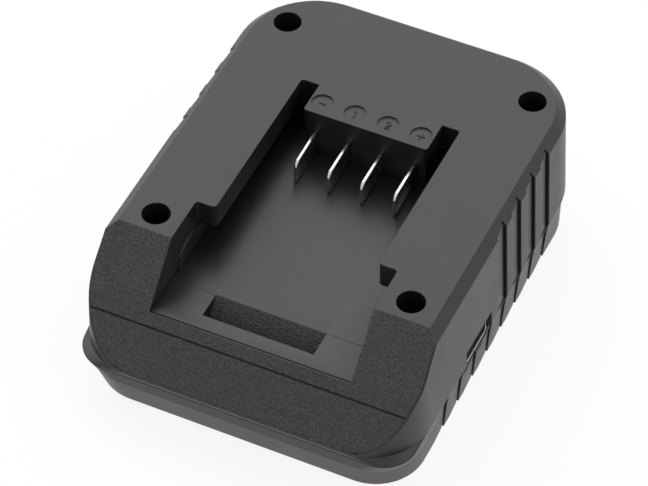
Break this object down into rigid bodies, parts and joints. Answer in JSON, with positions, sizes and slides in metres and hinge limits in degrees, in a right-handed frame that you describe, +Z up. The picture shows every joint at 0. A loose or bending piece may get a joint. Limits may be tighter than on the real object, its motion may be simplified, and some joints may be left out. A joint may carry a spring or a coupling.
{
  "type": "power tool battery charger",
  "caption": "Slide-in charging dock for a power tool battery: railed pocket, upright contact blades, textured sloping front, side charging socket and rubber feet.",
  "frame": {"origin": "centre of the footprint, on the plane that the rubber feet stand on", "axes": "+Z up, +X to the right seen from the front, +Y to the rear; the battery slides in along +Y"},
  "size_m": [0.085, 0.1112, 0.0405],
  "materials": {
    "case_plastic": "satin moulded",
    "base_plastic": "satin moulded",
    "holder_plastic": "matt",
    "blade_metal": "plated",
    "plated_steel": "plated",
    "contact_brass": "plain",
    "foot_rubber": "matt",
    "board_laminate": "matt",
    "chip_plastic": "matt",
    "copper_wire": "enamelled",
    "can_metal": "plain"
  },
  "bodies": {
    "root": {"base_cover": "base_plastic", "board_screws": "plated_steel", "case_screws": "plated_steel", "chip_capacitors": "chip_plastic", "circuit_board": "board_laminate", "control_chip": "chip_plastic", "current_shunt": "chip_plastic", "filter_capacitors": "can_metal", "fuse": "chip_plastic", "heat_sink": "can_metal", "inductor_core": "chip_plastic", "inductor_winding": "copper_wire", "inlet_body": "holder_plastic", "inlet_pin": "plated_steel", "insulating_sheet": "board_laminate", "pocket_tray": "case_plastic", "power_transistors": "chip_plastic", "rubber_feet": "foot_rubber", "socket_chip": "chip_plastic", "socket_contacts": "contact_brass", "socket_shell": "plated_steel", "socket_tongue": "holder_plastic", "terminal_blade_1": "blade_metal", "terminal_blade_2": "blade_metal", "terminal_blade_3": "blade_metal", "terminal_blade_4": "blade_metal", "terminal_holder": "holder_plastic", "thermal_pad": "chip_plastic", "upper_cover": "case_plastic"}
  },
  "joints": []
}
